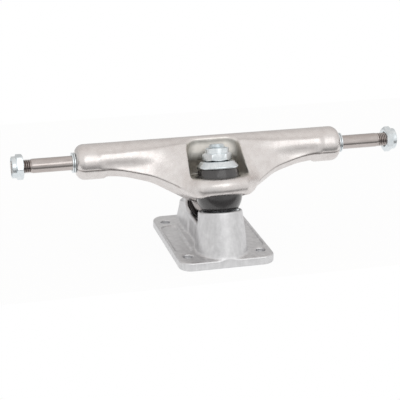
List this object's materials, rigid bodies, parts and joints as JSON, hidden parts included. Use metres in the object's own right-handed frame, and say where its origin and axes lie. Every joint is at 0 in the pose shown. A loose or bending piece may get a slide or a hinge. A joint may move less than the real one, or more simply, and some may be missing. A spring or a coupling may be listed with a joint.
{
  "type": "skateboard truck",
  "caption": "Skateboard truck: a cast baseplate and a tilted kingpin with urethane bushings carry a steering hanger, whose axle has a threaded end for each wheel.",
  "frame": {"origin": "centre of the baseplate's mounting face, which lies against the board", "axes": "+Z from the board towards the axle, +X along the axle to the picture's right, +Y from the kingpin towards the pivot"},
  "size_m": [0.2222, 0.075, 0.0632],
  "materials": {
    "cast_aluminium": "satin cast aluminium, brushed along the axle's tube",
    "tumbled_aluminium": "tumbled cast aluminium, matt, light grey",
    "axle_steel": "bright drawn steel, slightly brown",
    "zinc_plate": "bright zinc plate, slightly blue",
    "black_urethane": "black moulded urethane, half gloss",
    "white_nylon": "white nylon"
  },
  "bodies": {
    "base": {"baseplate": "tumbled_aluminium", "kingpin": "zinc_plate", "lower_washer": "zinc_plate", "lower_bushing": "black_urethane", "upper_bushing": "black_urethane", "upper_cup_washer": "zinc_plate", "pivot_cup": "black_urethane"},
    "hanger": {"hanger": "cast_aluminium", "axle": "axle_steel"},
    "kingpin_nut": {"kingpin_nut": "zinc_plate", "kingpin_nut_insert": "white_nylon"},
    "washer_left_inner": {"speed_washer_left_inner": "zinc_plate"},
    "washer_left_outer": {"speed_washer_left_outer": "zinc_plate"},
    "axle_nut_left": {"axle_nut_left": "zinc_plate", "axle_nut_left_insert": "white_nylon"},
    "washer_right_inner": {"speed_washer_right_inner": "zinc_plate"},
    "washer_right_outer": {"speed_washer_right_outer": "zinc_plate"},
    "axle_nut_right": {"axle_nut_right": "zinc_plate", "axle_nut_right_insert": "white_nylon"}
  },
  "joints": [
    {"name": "steer", "type": "hinge", "parent": "base", "child": "hanger", "pos_m": [0, -0.01403, 0.03941], "axis": [0, 0.8241, -0.5664], "range_deg": [-15, 15], "stiffness_Nm_per_rad": 30, "deforming": ["lower_bushing", "upper_bushing"]},
    {"name": "kingpin_nut_turn", "type": "hinge", "parent": "base", "child": "kingpin_nut", "pos_m": [0, -0.0172, 0.0267], "axis": [0, 0.2419, 0.9703], "continuous": true},
    {"name": "washer_left_inner_slide", "type": "slide", "parent": "hanger", "child": "washer_left_inner", "axis": [-1, 0, 0], "range_m": [0, 0.0131]},
    {"name": "washer_left_outer_slide", "type": "slide", "parent": "washer_left_inner", "child": "washer_left_outer", "axis": [-1, 0, 0], "range_m": [0, 0.0131]},
    {"name": "axle_nut_left_turn", "type": "hinge", "parent": "hanger", "child": "axle_nut_left", "pos_m": [0, 0.0065, 0.0525], "axis": [-1, 0, 0], "continuous": true},
    {"name": "washer_right_inner_slide", "type": "slide", "parent": "hanger", "child": "washer_right_inner", "axis": [1, 0, 0], "range_m": [0, 0.0131]},
    {"name": "washer_right_outer_slide", "type": "slide", "parent": "washer_right_inner", "child": "washer_right_outer", "axis": [1, 0, 0], "range_m": [0, 0.0131]},
    {"name": "axle_nut_right_turn", "type": "hinge", "parent": "hanger", "child": "axle_nut_right", "pos_m": [0, 0.0065, 0.0525], "axis": [1, 0, 0], "continuous": true}
  ]
}
